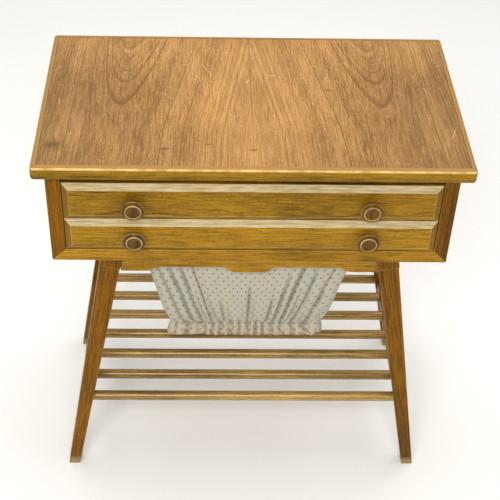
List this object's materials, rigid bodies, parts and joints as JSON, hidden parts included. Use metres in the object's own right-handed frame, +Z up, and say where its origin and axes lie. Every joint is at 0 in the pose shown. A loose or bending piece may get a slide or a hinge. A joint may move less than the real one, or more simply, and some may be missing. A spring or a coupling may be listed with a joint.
{
  "type": "sewing table",
  "caption": "Small wooden sewing table with side-hung drawers, splayed tapered legs, a shelf of round rods and a gathered fabric workbag that slides out.",
  "frame": {"origin": "on the floor below the tabletop's centre; the box's centre is 1.4 mm in front of it, because the knobs stand proud of the top", "axes": "+Z up, -Y towards the front, where the drawers and the workbag pull out, +X to the right seen from the front"},
  "size_m": [0.6, 0.3468, 0.64],
  "materials": {
    "top_veneer": "satin lacquered veneer",
    "lipping_wood": "satin lacquer",
    "case_wood": "satin lacquer",
    "drawer_front_wood": "satin lacquer",
    "drawer_box_wood": "bare sanded wood",
    "plywood": "bare plywood",
    "knob_wood": "dark stained and lacquered",
    "leg_wood": "satin lacquer",
    "rail_wood": "satin lacquer",
    "rod_wood": "satin lacquer",
    "bag_fabric": "woven cotton with small dots",
    "screw_steel": "bright steel"
  },
  "bodies": {
    "table": {"top_panel": "top_veneer", "top_lipping_front": "lipping_wood", "top_lipping_back": "lipping_wood", "top_lipping_left": "lipping_wood", "top_lipping_right": "lipping_wood", "case_left_side": "case_wood", "case_right_side": "case_wood", "case_bottom": "rail_wood", "case_back": "plywood", "top_front_rail": "case_wood", "top_back_rail": "case_wood", "upper_runner_left": "drawer_box_wood", "upper_runner_right": "drawer_box_wood", "lower_runner_left": "drawer_box_wood", "lower_runner_right": "drawer_box_wood", "front_left_leg": "leg_wood", "front_right_leg": "leg_wood", "back_left_leg": "leg_wood", "back_right_leg": "leg_wood", "left_apron": "leg_wood", "right_apron": "leg_wood", "back_apron": "leg_wood", "left_shelf_rail": "leg_wood", "right_shelf_rail": "leg_wood", "shelf_rod_1": "rod_wood", "shelf_rod_2": "rod_wood", "shelf_rod_3": "rod_wood", "shelf_rod_4": "rod_wood", "shelf_rod_5": "rod_wood", "shelf_rod_6": "rod_wood", "shelf_rod_7": "rod_wood", "bag_left_guide": "drawer_box_wood", "bag_right_guide": "drawer_box_wood"},
    "upper_drawer": {"upper_drawer_front": "drawer_front_wood", "upper_drawer_left_side": "drawer_box_wood", "upper_drawer_right_side": "drawer_box_wood", "upper_drawer_back": "drawer_box_wood", "upper_drawer_bottom": "plywood", "upper_left_knob": "knob_wood", "upper_right_knob": "knob_wood", "upper_left_knob_screw": "screw_steel", "upper_right_knob_screw": "screw_steel"},
    "lower_drawer": {"lower_drawer_front": "drawer_front_wood", "lower_drawer_left_side": "drawer_box_wood", "lower_drawer_right_side": "drawer_box_wood", "lower_drawer_back": "drawer_box_wood", "lower_drawer_bottom": "plywood", "lower_left_knob": "knob_wood", "lower_right_knob": "knob_wood", "lower_left_knob_screw": "screw_steel", "lower_right_knob_screw": "screw_steel"},
    "workbag": {"bag_front_rail": "rail_wood", "bag_left_rail": "drawer_box_wood", "bag_right_rail": "drawer_box_wood", "bag_back_rail": "drawer_box_wood", "workbag": "bag_fabric", "bag_base": "plywood"}
  },
  "joints": [
    {"name": "upper_drawer_slide", "type": "slide", "parent": "table", "child": "upper_drawer", "axis": [0, -1, 0], "range_m": [0, 0.22]},
    {"name": "lower_drawer_slide", "type": "slide", "parent": "table", "child": "lower_drawer", "axis": [0, -1, 0], "range_m": [0, 0.22]},
    {"name": "workbag_slide", "type": "slide", "parent": "table", "child": "workbag", "axis": [0, -1, 0], "range_m": [0, 0.22]}
  ]
}
